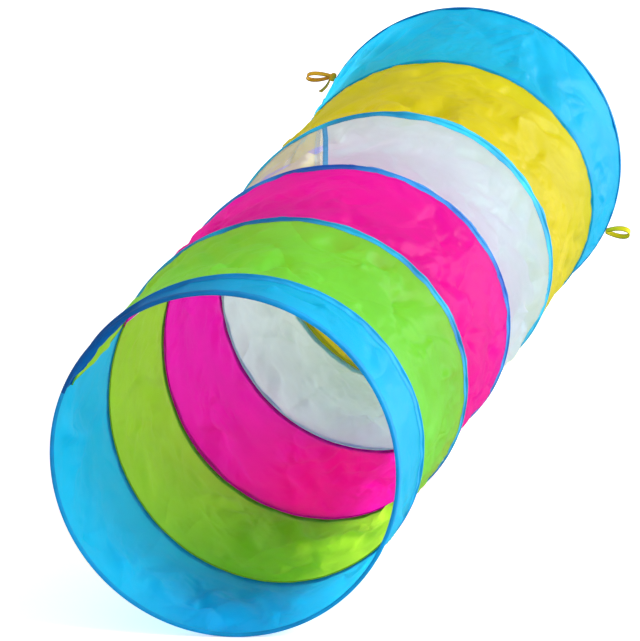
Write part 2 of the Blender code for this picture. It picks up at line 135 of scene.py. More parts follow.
def hump(share, height, rise, fall):
    """A height that rises between two values and falls between two more; None leaves a side out."""
    if rise:
        height = height * smoothstep(share, *rise)
    if fall:
        height = height * (1 - smoothstep(share, *fall))
    return height


def noise(x, y, seed):
    """Smooth gradient noise on arrays, about -1 to 1, with one wave in about two units."""
    table = np.random.default_rng(seed)
    order = table.permutation(256)
    turn = table.uniform(0, 2 * math.pi, 256)
    x, y = np.broadcast_arrays(np.asarray(x, float), np.asarray(y, float))
    left, low = np.floor(x).astype(int), np.floor(y).astype(int)
    along, up = x - left, y - low

    def corner(i, j):
        pick = turn[order[(order[(left + i) % 256] + low + j) % 256]]
        return np.cos(pick) * (along - i) + np.sin(pick) * (up - j)

    ease_x = along**3 * (along * (along * 6 - 15) + 10)
    ease_y = up**3 * (up * (up * 6 - 15) + 10)
    bottom = corner(0, 0) + ease_x * (corner(1, 0) - corner(0, 0))
    top = corner(0, 1) + ease_x * (corner(1, 1) - corner(0, 1))
    return 1.4 * (bottom + ease_y * (top - bottom))


def waver(around, waves, seed):
    """The sum of a few waves of noise round the tunnel."""
    return sum(height * noise(around / length, 0, seed + order) for height, length, order in waves)


def knot(turn):
    """Distance behind the front plane at which the coil has made this many turns."""
    return END_LEAD + MEAN_PITCH * sum(PITCH_SHARES[:turn])


def coil_station(turn, share):
    """Distance behind the front plane of the seam on a turn, counted from 1."""
    seam = knot(turn - 1) + (knot(turn) - knot(turn - 1)) * share
    around = share * CLOTH_ROUND
    free = hump(share, 1, (0, 0.03), (0.97, 1))
    low = hump(share, 1, (0.48, 0.68), (0.78, 0.98))
    for shift in SEAM_SHIFTS.get(turn, ()):
        seam = seam + hump(share, *shift)
    return seam + free * waver(around, SEAM_WAVES, turn) - SWAYS[turn - 1] * low


def coil_ring(turn, share):
    """Radius and centre height of the cloth under a turn."""
    share = np.asarray(share, float)
    away = np.ones_like(share)
    hoop_radius, hoop_centre = CLOTH_RADIUS, COIL_CENTRE
    if turn == 1:
        away = smoothstep(share, 0, END_BLEND)
        hoop_radius, hoop_centre = FRONT_HOOP_RADIUS + TUCK_OFFSET, FRONT_CENTRE
    if turn == TURN_COUNT:
        away = smoothstep(1 - share, 0, END_BLEND)
        hoop_radius, hoop_centre = REAR_HOOP_RADIUS + TUCK_OFFSET, REAR_CENTRE
    radius = hoop_radius + (CLOTH_RADIUS - hoop_radius) * away
    if turn == 1:
        radius = radius - hump(share, *START_DIP)
    centre = hoop_centre + (COIL_CENTRE - hoop_centre) * away
    return radius, centre


def place(station, share, radius, centre):
    """Points of the tunnel, as one array."""
    angle = JOINT_ANGLE - share * 2 * math.pi
    station, angle, radius, centre = np.broadcast_arrays(station, angle, radius, centre)
    across, up = radius * np.cos(angle), centre + radius * np.sin(angle)
    return np.stack([across, station - TUNNEL_LENGTH / 2, up], axis=-1)


def raise_off(points, share, height):
    """The points moved away from the tunnel's axis."""
    angle = JOINT_ANGLE - share * 2 * math.pi
    outward = np.stack([np.cos(angle), np.zeros_like(angle), np.sin(angle)], axis=-1)
    return points + outward * np.broadcast_to(height, angle.shape)[..., None]


def from_edge(distance):
    """Edge measures of a piece with no long joint near: the distance to its edge, and far away."""
    return np.stack([distance, np.ones_like(distance)], axis=-1)


def grid_piece(name, points, uv, edges=None, closed=False):
    """A smooth piece from a grid of points, with its cloth measures in metres as UV maps.

    The first runs along and across the cloth, the second holds distances to seam and joint."""
    columns, rows = points.shape[:2]
    index = np.arange(columns * rows).reshape(columns, rows)
    if closed:
        index = np.vstack([index, index[:1]])
    corners = [index[:-1, :-1], index[:-1, 1:], index[1:, 1:], index[1:, :-1]]
    faces = np.stack(corners, axis=-1).reshape(-1, 4)
    mesh = bpy.data.meshes.new(name)
    mesh.vertices.add(columns * rows)
    mesh.vertices.foreach_set("co", points.reshape(-1))
    mesh.loops.add(faces.size)
    mesh.loops.foreach_set("vertex_index", faces.reshape(-1))
    mesh.polygons.add(len(faces))
    mesh.polygons.foreach_set("loop_start", np.arange(0, faces.size, 4))
    mesh.update(calc_edges=True)
    mesh.polygons.foreach_set("use_smooth", np.ones(len(faces), bool))
    for layer, values in (("cloth", uv), ("edges", edges)):
        if values is None:
            continue
        flat = values.reshape(-1, 2)[faces.reshape(-1)]
        if closed and layer == "cloth":
            # The last faces end where the first ones start, one round further on
            flat = flat.reshape(-1, 4, 2)
            flat[1 - rows :, 2:, 0] += CLOTH_ROUND
        mesh.uv_layers.new(name=layer).data.foreach_set("uv", flat.reshape(-1))
    mesh.validate()
    piece = bpy.data.objects.new(name, mesh)
    bpy.context.scene.collection.objects.link(piece)
    return piece


# Shader building


def nodes_for(name):
    """A material with its node tree emptied down to the output."""
    material = bpy.data.materials.new(name)
    material.use_nodes = True
    tree = material.node_tree
    tree.nodes.clear()
    output = tree.nodes.new("ShaderNodeOutputMaterial")
    return material, tree, output


def node(tree, kind, **settings):
    """One shader node: settings name its properties, or its inputs with spaces as underscores."""
    made = tree.nodes.new(kind)
    for key, value in settings.items():
        if hasattr(made, key):
            setattr(made, key, value)
        else:
            made.inputs[key.replace("_", " ")].default_value = value
    return made


def link(tree, source, target):
    """Joins two sockets."""
    tree.links.new(source, target)


def feed(tree, value, target):
    """Gives a socket another socket, or a plain value."""
    if isinstance(value, bpy.types.NodeSocket):
        link(tree, value, target)
    else:
        target.default_value = value


def maths(tree, operation, first, second=None):
    """A Math node on sockets or numbers; gives its output."""
    made = node(tree, "ShaderNodeMath", operation=operation)
    feed(tree, first, made.inputs[0])
    if second is not None:
        feed(tree, second, made.inputs[1])
    return made.outputs[0]


def ramp(tree, value, low, high, start=0.0, end=1.0):
    """Start under low, end over high, smooth between."""
    limits = {"From_Min": low, "From_Max": high, "To_Min": start, "To_Max": end}
    made = node(tree, "ShaderNodeMapRange", interpolation_type="SMOOTHSTEP", **limits)
    link(tree, value, made.inputs["Value"])
    return made.outputs["Result"]


def mix_colour(tree, factor, first, second, blend="MIX"):
    """A colour mix on sockets or colours; gives its output."""
    made = node(tree, "ShaderNodeMix", data_type="RGBA", blend_type=blend)
    for socket, value in (("Factor", factor), ("A", first), ("B", second)):
        feed(tree, value, made.inputs[socket])
    return made.outputs["Result"]


def mix_shaders(tree, factor, first, second):
    """A Mix Shader node on two shader sockets; gives its output."""
    made = node(tree, "ShaderNodeMixShader")
    feed(tree, factor, made.inputs["Fac"])
    link(tree, first, made.inputs[1])
    link(tree, second, made.inputs[2])
    return made.outputs[0]


def grey(tree, value):
    """A value as a grey colour."""
    made = node(tree, "ShaderNodeCombineColor")
    for socket in made.inputs:
        link(tree, value, socket)
    return made.outputs[0]


def measures(tree, layer):
    """The two measures of a UV map, as sockets."""
    uv = node(tree, "ShaderNodeUVMap", uv_map=layer)
    split = node(tree, "ShaderNodeSeparateXYZ")
    link(tree, uv.outputs["UV"], split.inputs["Vector"])
    return uv.outputs["UV"], split.outputs["X"], split.outputs["Y"]


def noise_value(tree, vector, scale, detail=2.0):
    """A Noise Texture on a vector; gives its value."""
    made = node(tree, "ShaderNodeTexNoise", Scale=scale, Detail=detail, Roughness=0.5)
    link(tree, vector, made.inputs["Vector"])
    return made.outputs["Fac"]


def creases(tree, vector, scale):
    """Heights of a cloth that has lain folded: sharp ridges between smooth patches."""
    ridges = node(tree, "ShaderNodeTexNoise", noise_type="RIDGED_MULTIFRACTAL", **CREASES)
    ridges.inputs["Scale"].default_value = scale
    link(tree, vector, ridges.inputs["Vector"])
    return ridges.outputs["Fac"]


def surface(tree, output, colour, height, finish, through=0.0, glow_colour=None):
    """Principled surface with its bump, and the light that it lets through; gives its main node."""
    roughness, bump_size, bump_strength = finish
    shader = node(tree, "ShaderNodeBsdfPrincipled", Roughness=roughness, Specular_IOR_Level=SHINE)
    bump = node(tree, "ShaderNodeBump", Strength=bump_strength, Distance=bump_size)
    link(tree, height, bump.inputs["Height"])
    link(tree, bump.outputs["Normal"], shader.inputs["Normal"])
    feed(tree, colour, shader.inputs["Base Color"])
    result = shader.outputs[0]
    if through:
        glow = node(tree, "ShaderNodeBsdfTranslucent")
        link(tree, bump.outputs["Normal"], glow.inputs["Normal"])
        link(tree, colour if glow_colour is None else glow_colour, glow.inputs["Color"])
        result = mix_shaders(tree, through, result, glow.outputs[0])
    link(tree, result, output.inputs["Surface"])
    return shader


def wave(tree, measure, pitch):
    """A sine wave along a measure, with one period to a pitch."""
    return maths(tree, "SINE", maths(tree, "MULTIPLY", measure, 2 * math.pi / pitch))


def with_painted_shade(tree, colour, along, deep):
    """The colour, with the deep colour of painted shade over the start of the turn where there is
    one.
    """
    if not deep:
        return colour
    painted_shade_colour, fades_from, faded_at = deep
    return mix_colour(tree, ramp(tree, along, fades_from, faded_at, 1.0, 0.0), colour, painted_shade_colour)


# Settings of the noise that makes the creases
CREASES = {"Detail": 3.0, "Roughness": 0.35, "Offset": 0.9, "Distortion": 0.6}
# Reflection of every surface, and each material's roughness, bump size and bump strength
SHINE = 0.18
CLOTH_FINISH = (0.40, 0.0045, 1.0)
TAPE_FINISH = (0.6, 0.0006, 0.6)
RIBBON_FINISH = (0.55, 0.0004, 0.5)
NET_FINISH = (0.7, 0.0003, 0.3)
STEEL_BUMP = (0.0001, 0.3)
# Share of the cloth's colour that is left at a seam, where it is doubled: partly real, partly
# painted shade
SEAM_DOUBLED_AND_SHADED = (0.72, 0.85, 0.94, 1)
# How much the cloth's shade varies from patch to patch
SHADE_VARIATION = 0.08
# Pitches of the threads and ribs, and of the stitches, with their distance from a tape's edge
CLOTH_THREADS = 0.0009
TAPE_RIBS = 0.0011
RIBBON_RIBS = 0.0009
STITCH_PITCH = 0.0034
STITCH_LINE = 0.0016
# Metres between the bands in the cloth measures, so that no two have the same creases
BAND_SPACING = 2
# Net: its pitch, the share of a cell that its threads fill, and the middle and slope of its band of
# painted sheen
NET_PITCH = 0.0016
NET_FILL = 0.60
PAINTED_SHEEN_MIDDLE = 3 * BAND_SPACING + 0.055
PAINTED_SHEEN_SLOPE = 1.15


def cloth_material(name, colour, lit_through, through, deep=None):
    """Thin crisp woven cloth: creases, a faint weave and each seam's doubled edge, partly painted
    shade.

    Deep is the colour of painted shade for the start of the turn, and where it starts to fade and
    has faded."""
    material, tree, output = nodes_for(name)
    vector, along, across = measures(tree, "cloth")
    _, to_seam, to_joint = measures(tree, "edges")
    patchy = noise_value(tree, vector, 7.0, 3.0)
    fine = noise_value(tree, vector, 60.0, 3.0)
    shade = ramp(tree, patchy, 0.3, 0.7, 1 - SHADE_VARIATION, 1 + SHADE_VARIATION / 3)
    shade = grey(tree, maths(tree, "MULTIPLY", shade, ramp(tree, fine, 0.3, 0.7, 0.985, 1.0)))
    # The edge by each seam is darker, partly as doubled cloth and partly as painted shade; its
    # border is scalloped
    scallop = maths(tree, "MULTIPLY", noise_value(tree, vector, 75.0, 1.0), 0.0038)
    edge = ramp(tree, maths(tree, "SUBTRACT", to_seam, scallop), 0.0002, 0.0014, 1.0, 0.0)
    joint = ramp(tree, to_joint, 0.0008, 0.0022, 0.35, 0.0)
    finished = []
    for dye in (colour, lit_through):
        varied = mix_colour(tree, 1.0, dye, shade, "MULTIPLY")
        tinted = mix_colour(tree, 1.0, varied, SEAM_DOUBLED_AND_SHADED, "MULTIPLY")
        # Where deep is given, its painted shade covers the start of the turn
        seamed = with_painted_shade(tree, mix_colour(tree, edge, varied, tinted), along, deep)
        finished.append(mix_colour(tree, joint, seamed, (0.0, 0.0, 0.0, 1)))
    stretch = node(tree, "ShaderNodeMapping", Scale=(1.0, 0.5, 1.0))
    link(tree, vector, stretch.inputs["Vector"])
    folds = creases(tree, stretch.outputs["Vector"], 9.0)
    height = maths(tree, "ADD", folds, maths(tree, "MULTIPLY", fine, 0.15))
    warp_and_weft = (wave(tree, measure, CLOTH_THREADS) for measure in (along, across))
    weave = maths(tree, "MULTIPLY", *warp_and_weft)
    height = maths(tree, "ADD", height, maths(tree, "MULTIPLY", weave, 0.012))
    surface(tree, output, finished[0], height, CLOTH_FINISH, through, finished[1])
    return material


def tape_material(name, colour, worn, through=0.12, deep=None):
    """Ribbed tape with a row of stitches near each edge, darker where it is doubled over the cloth.

    Deep is the painted shade, as for the cloth."""
    material, tree, output = nodes_for(name)
    vector, along, _ = measures(tree, "cloth")
    _, to_edge, _ = measures(tree, "edges")
    from_row = maths(tree, "ABSOLUTE", maths(tree, "SUBTRACT", to_edge, STITCH_LINE))
    row = ramp(tree, from_row, 0.0003, 0.0006, 1.0, 0.0)
    stitch = maths(tree, "MULTIPLY", row, ramp(tree, wave(tree, along, STITCH_PITCH), -0.3, 0.1))
    patchy = ramp(tree, noise_value(tree, vector, 30.0, 3.0), 0.3, 0.7, 0.86, 1.04)
    doubled = ramp(tree, noise_value(tree, vector, 6.0), 0.42, 0.60)
    # Where deep is given, its painted shade covers the start of the turn
    dyed = with_painted_shade(tree, mix_colour(tree, doubled, colour, worn), along, deep)
    varied = mix_colour(tree, 1.0, dyed, grey(tree, patchy), "MULTIPLY")
    thread = tuple(channel * 0.55 for channel in colour[:3]) + (1.0,)
    ribs = maths(tree, "MULTIPLY", wave(tree, along, TAPE_RIBS), 0.15)
    height = maths(tree, "ADD", ribs, maths(tree, "MULTIPLY", stitch, 0.8))
    grain = maths(tree, "MULTIPLY", noise_value(tree, vector, 90.0), 0.6)
    height = maths(tree, "ADD", height, grain)
    finished = mix_colour(tree, stitch, varied, thread)
    surface(tree, output, finished, height, TAPE_FINISH, through)
    return material


def ribbon_material(name, colour, selvedge):
    """Narrow woven ribbon with a darker selvedge."""
    material, tree, output = nodes_for(name)
    vector, along, _ = measures(tree, "cloth")
    _, to_edge, _ = measures(tree, "edges")
    border = ramp(tree, to_edge, 0.0009, 0.0015, 1.0, 0.0)
    finished = mix_colour(tree, border, colour, selvedge)
    ribs = maths(tree, "MULTIPLY", wave(tree, along, RIBBON_RIBS), 0.2)
    height = maths(tree, "ADD", ribs, noise_value(tree, vector, 150.0))
    surface(tree, output, finished, height, RIBBON_FINISH, through=0.2)
    return material


def mesh_material(name, colour, painted_sheen):
    """A fine net: threads on a square grid, open cells between, and a band of painted sheen."""
    material, tree, output = nodes_for(name)
    vector, along, across = measures(tree, "cloth")
    masks = []
    for measure in (along, across):
        in_cell = maths(tree, "FRACT", maths(tree, "DIVIDE", measure, NET_PITCH))
        masks.append(maths(tree, "LESS_THAN", in_cell, NET_FILL))
    threads = maths(tree, "MAXIMUM", *masks)
    # A slanting band of lavender across the net: painted sheen
    slope = maths(tree, "MULTIPLY", maths(tree, "SUBTRACT", along, PAINTED_SHEEN_MIDDLE), PAINTED_SHEEN_SLOPE)
    aslant = maths(tree, "SUBTRACT", across, slope)
    drift = maths(tree, "SUBTRACT", noise_value(tree, vector, 14.0), 0.5)
    aslant = maths(tree, "ADD", aslant, maths(tree, "MULTIPLY", drift, 0.02))
    band = ramp(tree, maths(tree, "ABSOLUTE", aslant), 0.014, 0.036, 1.0, 0.0)
    finished = mix_colour(tree, band, colour, painted_sheen)
    surface(tree, output, finished, noise_value(tree, vector, 200.0), NET_FINISH, through=0.35)
    clear = node(tree, "ShaderNodeBsdfTransparent")
    thread = output.inputs["Surface"].links[0].from_socket
    net = mix_shaders(tree, threads, clear.outputs[0], thread)
    link(tree, net, output.inputs["Surface"])
    return material


def steel_material(name, colour, roughness):
    """Drawn or plated steel with fine scratches."""
    material, tree, output = nodes_for(name)
    coordinates = node(tree, "ShaderNodeTexCoord")
    scratches = noise_value(tree, coordinates.outputs["Object"], 900.0, 3.0)
    shader = surface(tree, output, colour, scratches, (roughness, *STEEL_BUMP))
    shader.inputs["Metallic"].default_value = 1.0
    worn = ramp(tree, scratches, 0.3, 0.7, roughness - 0.08, roughness + 0.1)
    link(tree, worn, shader.inputs["Roughness"])
    return material


# Painted shade in the folded, doubled cloth at the mouth's top left: a deep blue, fading between
# these metres
PAINTED_SHADE_TOP_LEFT = ((0.003, 0.13, 0.46, 1), 0.10, 0.42)
# Each cloth's colour in reflected light and in light that comes through, and how much comes through
CLOTHS = {
    # The front band carries the painted shade at the mouth's top left
    "front blue": cloth_material(
        "front_blue_woven", (0.008, 0.50, 0.90, 1), (0.010, 0.62, 1.0, 1), 0.64, deep=PAINTED_SHADE_TOP_LEFT
    ),
    "blue": cloth_material("blue_woven", (0.008, 0.50, 0.90, 1), (0.010, 0.62, 1.0, 1), 0.64),
    "green": cloth_material("green_woven", (0.10, 0.60, 0.04, 1), (0.56, 0.94, 0.05, 1), 0.60),
    "pink": cloth_material("pink_woven", (0.98, 0.004, 0.34, 1), (1.0, 0.008, 0.62, 1), 0.74),
    "white": cloth_material("white_woven", (0.545, 0.765, 0.915, 1), (0.85, 0.98, 1.0, 1), 0.75),
    "yellow": cloth_material("yellow_woven", (0.65, 0.565, 0.001, 1), (0.85, 0.73, 0.002, 1), 0.56),
}
# Each tape's colour where it is single and where it is doubled
TAPES = {
    # Turn 1's tape carries the same painted shade at the mouth's top left
    1: tape_material(
        "blue_tape_1", (0.010, 0.47, 0.86, 1), (0.008, 0.38, 0.76, 1), 0.35, PAINTED_SHADE_TOP_LEFT
    ),
    2: tape_material("blue_tape_2", (0.01, 0.36, 0.62, 1), (0.004, 0.15, 0.38, 1)),
    3: tape_material("blue_tape_3", (0.03, 0.27, 0.70, 1), (0.008, 0.08, 0.42, 1)),
    4: tape_material("blue_tape_4", (0.02, 0.50, 0.80, 1), (0.008, 0.26, 0.50, 1)),
    # The last seam is folded in the rear band's own cloth
    5: CLOTHS["blue"],
}
# The front hem carries the same painted shade at the mouth's top left
FRONT_HEM_CLOTH = tape_material(
    "blue_hem_cloth", (0.010, 0.46, 0.88, 1), (0.01, 0.38, 0.78, 1), 0.45, PAINTED_SHADE_TOP_LEFT
)
REAR_HEM_CLOTH = tape_material("rear_hem_cloth", (0.010, 0.40, 0.80, 1), (0.01, 0.30, 0.66, 1), 0.3)
WINDOW_TAPE = tape_material("window_tape", (0.10, 0.44, 0.82, 1), (0.08, 0.40, 0.78, 1), 0.25)
RIBBON = ribbon_material("yellow_woven_ribbon", (0.78, 0.44, 0.015, 1), (0.40, 0.19, 0.010, 1))
EYE_RIBBON = ribbon_material("bright_woven_ribbon", (0.86, 0.76, 0.010, 1), (0.40, 0.33, 0.012, 1))
# The net's colour, and the lavender of its band of painted sheen
NET = mesh_material("window_net", (0.64, 0.64, 0.50, 1), (0.50, 0.47, 0.88, 1))
SPRING_STEEL = steel_material("spring_steel_wire", (0.55, 0.56, 0.58, 1), 0.3)
SLEEVE_STEEL = steel_material("zinc_plate", (0.62, 0.63, 0.64, 1), 0.42)


# Cloth bands

# Wrinkles square to a sewn edge: height, spacing, length, how far they reach, seed
GATHERS = ((0.0012, 0.016, 0.10, 1.0, 0), (0.0024, 0.036, 0.16, 2.8, 3))
GATHER_REACH = 0.016
# Long folds: height, direction, spacing, seed
FOLDS = ((0.0160, math.radians(66), 0.046, 30), (0.0105, math.radians(112), 0.036, 40))
# Patches between creases: height, how much longer they are along the tunnel, size, seed
PATCHES = ((0.0080, 2, 0.050, 50), (-0.0060, 1.7, 0.036, 90))
SMALL_PATCHES = (0.0024, 2, 0.020, 60)
# Star creases, drawn on a band of a third of its depth so that they run along the tunnel: their
# number, room from joint and front seam, and the number, length, height and bend of their rays
STAR_SQUEEZE = 3
STAR_COUNT = 16
STAR_FROM_JOINT = 0.04
STAR_FROM_SEAM = (0.015, 0.105)
RAY_COUNTS = (3, 6)
RAY_LENGTHS = (0.030, 0.075)
RAY_HEIGHTS = (0.0020, 0.0046)
RAY_BEND = 3.5
# How calm the cloth is beside the window's tape, and from where to where that fades
WINDOW_CALM = 0.12
WINDOW_CALM_FADE = (0.003, 0.03)
# Steps in which a seam's allowance turns in, and how much less of it there is at a band's back
TURN_IN = (0.35, 0.7, 1.0)
BACK_TURN_IN = 0.4


def band_edges(band, share):
    """Station, radius and centre height of a band's two edges at a share of its turn."""
    if band == 0:
        front = (HEM_TUCK, FRONT_HOOP_RADIUS + TUCK_OFFSET, FRONT_CENTRE)
    else:
        front = (coil_station(band, share) + SEAM_HALF, *coil_ring(band, share))
    if band == TURN_COUNT:
        back = (TUNNEL_LENGTH - HEM_TUCK, REAR_HOOP_RADIUS + TUCK_OFFSET, REAR_CENTRE)
    else:
        back = (coil_station(band + 1, share) - SEAM_HALF, *coil_ring(band + 1, share))
    return front, back


def gathers(around, to_edge, seed):
    """Short wrinkles that stand square to a sewn edge and die out away from it."""
    reach = GATHER_REACH * np.maximum(1 + noise(around / 0.06, 0, seed + 1), 0.375)
    drift = 0.4 * noise(around / 0.09, to_edge / 0.05, seed + 2)
    relief = 0
    for height, spacing, length, reaches, order in GATHERS:
        pattern = noise(around / spacing + drift, to_edge / length, seed + order)
        relief = relief + height * pattern * np.exp(-to_edge / (reaches * reach))
    return smoothstep(to_edge, 0, 0.004) * relief


def tension(around, back, direction, spread, seed):
    """A few long folds that run along a direction, with the cloth slack between them."""
    along = around * math.cos(direction) + back * math.sin(direction)
    aside = back * math.cos(direction) - around * math.sin(direction)
    aside = aside + 0.012 * noise(around / 0.11, back / 0.11, seed + 1)
    folds = noise(along / (spread * 3.2), aside / spread, seed)
    patch = smoothstep(noise(around / 0.16, back / 0.14, seed + 2), -0.25, 0.45)
    return patch * (folds - 0.5 * np.abs(folds))


def crumple(around, back, size, seed):
    """Flat patches between creases, as in cloth that was stored folded."""
    x = around + 0.5 * size * noise(around / size * 0.7, back / size * 0.7, seed + 7)
    y = back + 0.5 * size * noise(around / size * 0.7, back / size * 0.7, seed + 8)
    folds = np.abs(noise(x / size, y / size, seed))
    crossing = np.abs(noise((x + y) / (1.6 * size), (y - x) / (1.2 * size), seed + 1))
    patch = smoothstep(noise(around / 0.11, back / 0.09, seed + 2), -0.2, 0.5)
    return patch * np.minimum(folds, 1.3 * crossing)


def stars(around, back, seed):
    """Sharp creases that run out from a few points, as cloth keeps them from folded storage."""
    table = np.random.default_rng(seed)
    height = np.zeros(np.broadcast(around, back).shape)
    for _ in range(STAR_COUNT):
        middle_around = table.uniform(STAR_FROM_JOINT, CLOTH_ROUND - STAR_FROM_JOINT)
        middle_back = table.uniform(*STAR_FROM_SEAM)
        x, y = around - middle_around, back - middle_back
        for _ in range(table.integers(*RAY_COUNTS)):
            direction = table.uniform(0, 2 * math.pi)
            length = table.uniform(*RAY_LENGTHS)
            size = table.uniform(*RAY_HEIGHTS) * table.choice([1, 1, -1])
            bend = table.uniform(-RAY_BEND, RAY_BEND)
            along = x * math.cos(direction) + y * math.sin(direction)
            aside = y * math.cos(direction) - x * math.sin(direction)
            ray = hump(along, size, (-0.15 * length, 0.1 * length), (0.2 * length, length))
            spread = 0.0040 + 0.12 * np.clip(along, 0, length)
            height = height + ray * np.exp(-np.abs(aside - bend * along**2) / spread)
    return height


def wrinkles(band, around, behind, width, narrow):
    """Heights of a band's wrinkles, from those at its seams to the small patches between them."""
    seed = 100 * (band + 1)
    to_joint = np.minimum(around, CLOTH_ROUND - around)
    to_seam = np.minimum(behind, width - behind)
    open_cloth = smoothstep(to_seam, 0, 0.07) * narrow
    relief = gathers(around, behind, seed) + gathers(around, width - behind, seed + 10)
    relief = relief + 0.5 * gathers(behind, to_joint, seed + 20)
    for height, direction, spread, order in FOLDS:
        folds = tension(around, behind, direction, spread, seed + order)
        relief = relief + height * open_cloth * folds
    for height, longer, size, order in PATCHES:
        patches = crumple(around, behind / longer, size, seed + order)
        relief = relief + height * open_cloth * patches
    height, longer, size, order = SMALL_PATCHES
    relief = relief + height * narrow * crumple(around, behind / longer, size, seed + order)
    rays = stars(around, behind / (STAR_SQUEEZE * narrow), seed + 95)
    return relief + smoothstep(to_seam, 0.004, 0.035) * rays


def band_surface(band, share, across, inward=0.0):
    """Points of a band of cloth at shares round its turn and across it, and its two measures."""
    front, back = band_edges(band, share)
    width = back[0] - front[0]
    narrow = np.minimum(1, width / MEAN_PITCH)
    around = share * CLOTH_ROUND
    behind = across * width
    to_joint = np.minimum(around, CLOTH_ROUND - around)
    to_seam = np.minimum(behind, width - behind)
    calm = smoothstep(to_joint, 0, 0.006) * smoothstep(to_seam, 0, 0.003)
    if band == 3:
        to_window = np.abs(share - WINDOW_FRONT - WINDOW_LEAN * across) * CLOTH_ROUND
        free = smoothstep(to_window, *WINDOW_CALM_FADE)
        calm = calm * (WINDOW_CALM + (1 - WINDOW_CALM) * free)
    relief = calm * wrinkles(band, around, behind, width, narrow)
    seed = 100 * (band + 1)
    sag = 1 + 0.3 * noise(around / 0.35, 0, seed + 70)
    if band in SAGS:
        sag = sag + hump(share, *SAGS[band])
    waist = WAIST_DEPTH * narrow * sag
    if band == 0:
        waist = waist + hump(share, *SLACK_FOLD)
    hollow = 4 * across * (1 - across) * waist
    radius = front[1] + (back[1] - front[1]) * across - hollow + relief - inward
    centre = front[2] + (back[2] - front[2]) * across
    sway = inward * waver(around, ALLOWANCE_WAVES, seed)
    points = place(front[0] + width * across + sway, share, radius, centre)
    along = around + BAND_SPACING * band
    uv = np.stack(np.broadcast_arrays(along, behind + np.sign(across - 0.5) * inward), axis=-1)
    # The edges that are sewn into a hem show no doubled cloth
    from_front = behind + (1 if band == 0 else 0)
    from_back = width - behind + (1 if band == TURN_COUNT else 0)
    to_edge = np.minimum(from_front, from_back) - inward
    edges = np.stack(np.broadcast_arrays(to_edge, to_joint), axis=-1)
    return points, uv, edges


def squashes(piece):
    """Attaches a piece to the front end's body and gives it a mesh of its own."""
    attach(piece, "front_end")
    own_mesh(piece)


def add_panel(name, node_name, band, material, first=0.0, last=1.0, lean=(0.0, 0.0)):
    """One panel of a band; lean moves the first or last edge by a share as it goes back."""
    columns = round((last - first) * CLOTH_ROUND / CELL)
    rows = np.linspace(0, 1, round(MEAN_PITCH / CELL) + 1)
    turned_in = np.zeros_like(rows)
    turn_in = np.array(TURN_IN) * ALLOWANCE
    if band > 0:
        rows = np.append(np.zeros(len(turn_in)), rows)
        turned_in = np.append(turn_in[::-1], turned_in)
    if band < TURN_COUNT:
        rows = np.append(rows, np.ones(len(turn_in)))
        turned_in = np.append(turned_in, BACK_TURN_IN * turn_in)
    steps, across = np.meshgrid(np.linspace(0, 1, columns + 1), rows, indexing="ij")
    start = first + lean[0] * across
    end = last + lean[1] * across
    share = start + (end - start) * steps
    points, uv, edges = band_surface(band, share, across, turned_in[None, :])
    piece = grid_piece(name, points, uv, edges)
    piece.data.materials.append(material)
    squashes(piece)
    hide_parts(node_name)


add_panel("front_blue_cloth", "front_blue_panel", 0, CLOTHS["front blue"])
add_panel("green_band", "green_panel", 1, CLOTHS["green"])
add_panel("pink_band", "pink_panel", 2, CLOTHS["pink"])
add_panel("mesh_window", "window_panel", 3, NET, 0.0, WINDOW_FRONT, (0, WINDOW_LEAN))
add_panel(
    "white_band", "white_panel", 3, CLOTHS["white"], WINDOW_FRONT, 1.0,
    (WINDOW_LEAN, 0),
)
add_panel("yellow_band", "yellow_panel", 4, CLOTHS["yellow"])
add_panel("rear_blue_cloth", "rear_blue_panel", 5, CLOTHS["blue"])


# Window binding


def add_window_binding():
    """The flat tape over the joint of mesh and cloth, a little proud of both."""
    across, over = np.meshgrid(
        np.linspace(*WINDOW_TAPE_SPAN, 90), np.linspace(-1, 1, 8), indexing="ij"
    )
    aside = over * WINDOW_TAPE_HALF
    share = WINDOW_FRONT + WINDOW_LEAN * across + aside / CLOTH_ROUND
    points, _, _ = band_surface(3, share, across)
    points = raise_off(points, share, WINDOW_TAPE_LIFT + WINDOW_TAPE_CROWN * (1 - over**4))
    uv = np.stack([across * MEAN_PITCH * PITCH_SHARES[3], aside], axis=-1)
    edges = from_edge(WINDOW_TAPE_HALF - np.abs(aside))
    piece = grid_piece("window_edge_tape", points[:, ::-1], uv[:, ::-1], edges[:, ::-1])
    piece.data.materials.append(WINDOW_TAPE)
    squashes(piece)
    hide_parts("window_binding")


add_window_binding()


# Coil: the tape over each seam and the wire under it

# What a tape and a wire leave free at the long joint, as shares of a turn, and a wire's faces
TAPE_END = 0.0002
WIRE_END = 0.0003
WIRE_STEPS = 240
WIRE_SIDES = 8


def tape_half_width(turn, side, share):
    """Width of a tape on one side of its turn, uneven as it is sewn, and narrow beside a hem."""
    around = share * CLOTH_ROUND
    half = TAPE_HALF_WIDTHS[turn - 1] + waver(around, TAPE_WAVES, 10 * turn + side)
    if (turn == 1 and side > 0) or (turn == TURN_COUNT and side < 0):
        half = half - INNER_TRIM
    if turn == 3 and side < 0:
        half = half + hump(share, 0.006, (0.14, 0.17), (0.19, 0.23))
    if turn in (3, 4):
        half = half * (NARROWED + (1 - NARROWED) * smoothstep(share, 0.03, 0.15))
    if turn in (2, 3):
        half = half * (NARROWED + (1 - NARROWED) * smoothstep(1 - share, 0, 0.05))
    station = coil_station(turn, share)
    to_hem = station - HEM_WIDTH if side < 0 else TUNNEL_LENGTH - HEM_WIDTH - station
    half = np.minimum(half, to_hem - HEM_CLEARANCE)
    if turn == 1:
        half = TAPE_TIP + (half - TAPE_TIP) * smoothstep(share, 0, 0.03)
    if turn == TURN_COUNT:
        half = TAPE_TIP + (half - TAPE_TIP) * smoothstep(1 - share, 0, 0.03)
    return half


